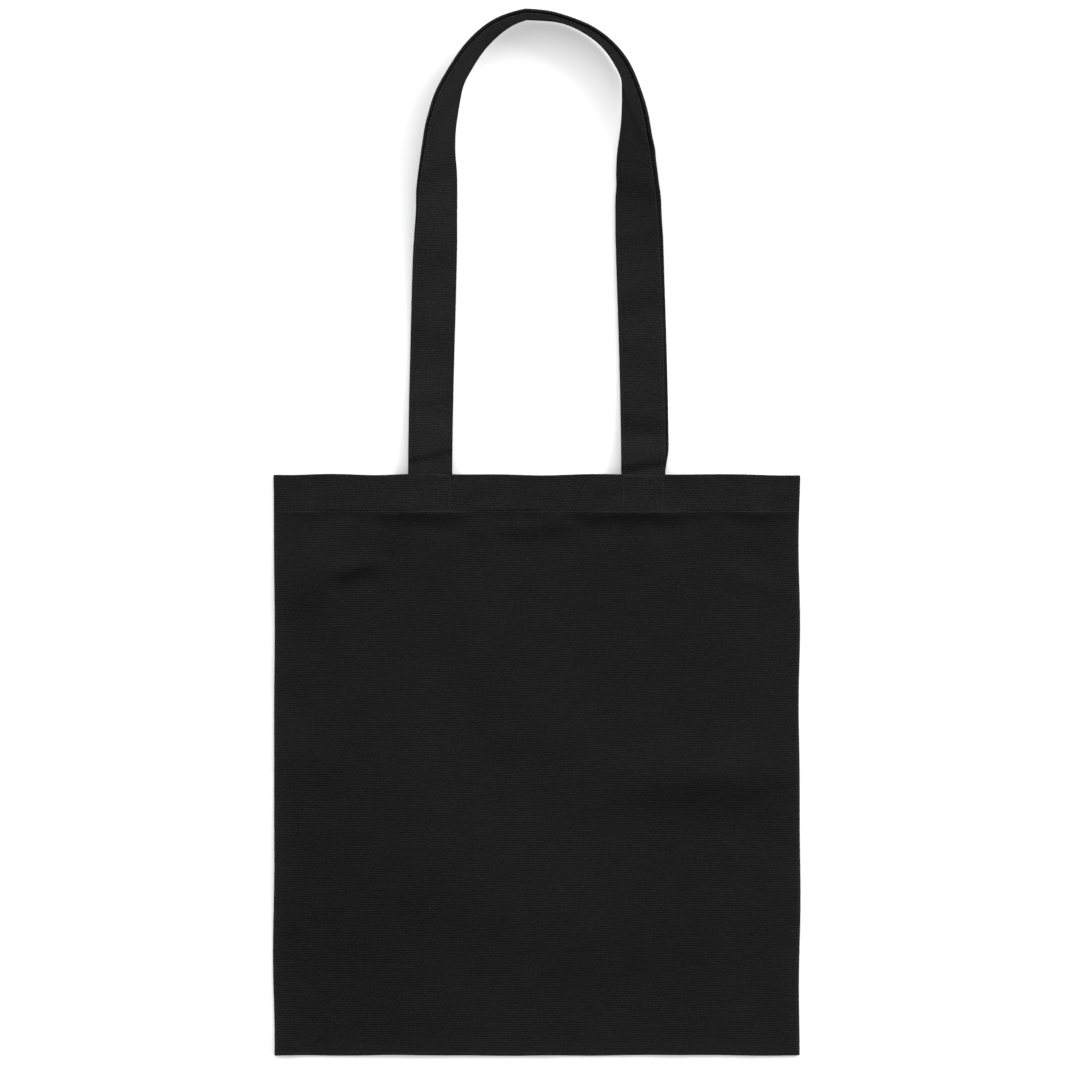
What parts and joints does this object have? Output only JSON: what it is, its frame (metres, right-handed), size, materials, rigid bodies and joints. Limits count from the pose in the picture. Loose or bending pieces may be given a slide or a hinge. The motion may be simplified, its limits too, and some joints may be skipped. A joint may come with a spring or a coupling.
{
  "type": "canvas tote bag",
  "caption": "Flat canvas tote bag lying on its back, with a deep turned hem at the open mouth and long shoulder handles sewn into the hem.",
  "frame": {"origin": "under the middle of the bag's whole outline, handles included, on the surface that the bag lies on", "axes": "+X across the bag to the right as its front is seen, +Y from the bottom seam to the handles, +Z out of the front face"},
  "size_m": [0.38, 0.7562, 0.0351],
  "materials": {
    "canvas": "matte black cotton canvas with a fine crosswise rib",
    "hem_facing": "matte black cotton canvas, turned in and stitched",
    "handle_canvas": "matte black folded cotton canvas, ribbed across the strap",
    "seam_allowance": "matte black cotton canvas, raw edge overlocked",
    "overlock_thread": "soft black polyester thread",
    "stitch_thread": "slightly lustrous black sewing thread"
  },
  "bodies": {
    "root": {"back_panel": "canvas", "back_hem": "hem_facing", "back_left_strap_end": "handle_canvas", "back_right_strap_end": "handle_canvas", "left_seam_allowance": "seam_allowance", "right_seam_allowance": "seam_allowance", "bottom_seam_allowance": "seam_allowance", "left_overlock": "overlock_thread", "right_overlock": "overlock_thread", "bottom_overlock": "overlock_thread", "back_hem_stitching": "stitch_thread", "back_left_box_stitching": "stitch_thread", "back_right_box_stitching": "stitch_thread"},
    "front_side": {"front_panel": "canvas", "front_hem": "hem_facing", "front_left_strap_end": "handle_canvas", "front_right_strap_end": "handle_canvas", "front_hem_stitching": "stitch_thread", "front_left_box_stitching": "stitch_thread", "front_right_box_stitching": "stitch_thread"},
    "front_loop": {"front_handle": "handle_canvas", "front_handle_stitching": "stitch_thread"},
    "back_loop": {"back_handle": "handle_canvas", "back_handle_stitching": "stitch_thread"}
  },
  "joints": [
    {"name": "mouth_opening", "type": "hinge", "parent": "root", "child": "front_side", "pos_m": [0, -0.3775, 0.0018], "axis": [1, 0, 0], "range_deg": [0, 5]},
    {"name": "front_handle_swing", "type": "hinge", "parent": "front_side", "child": "front_loop", "pos_m": [0, 0.0428, 0.0117], "axis": [1, 0, 0], "range_deg": [0, 174]},
    {"name": "back_handle_swing", "type": "hinge", "parent": "root", "child": "back_loop", "pos_m": [0, 0.0428, -0.0003], "axis": [1, 0, 0], "range_deg": [-174, 0]}
  ]
}
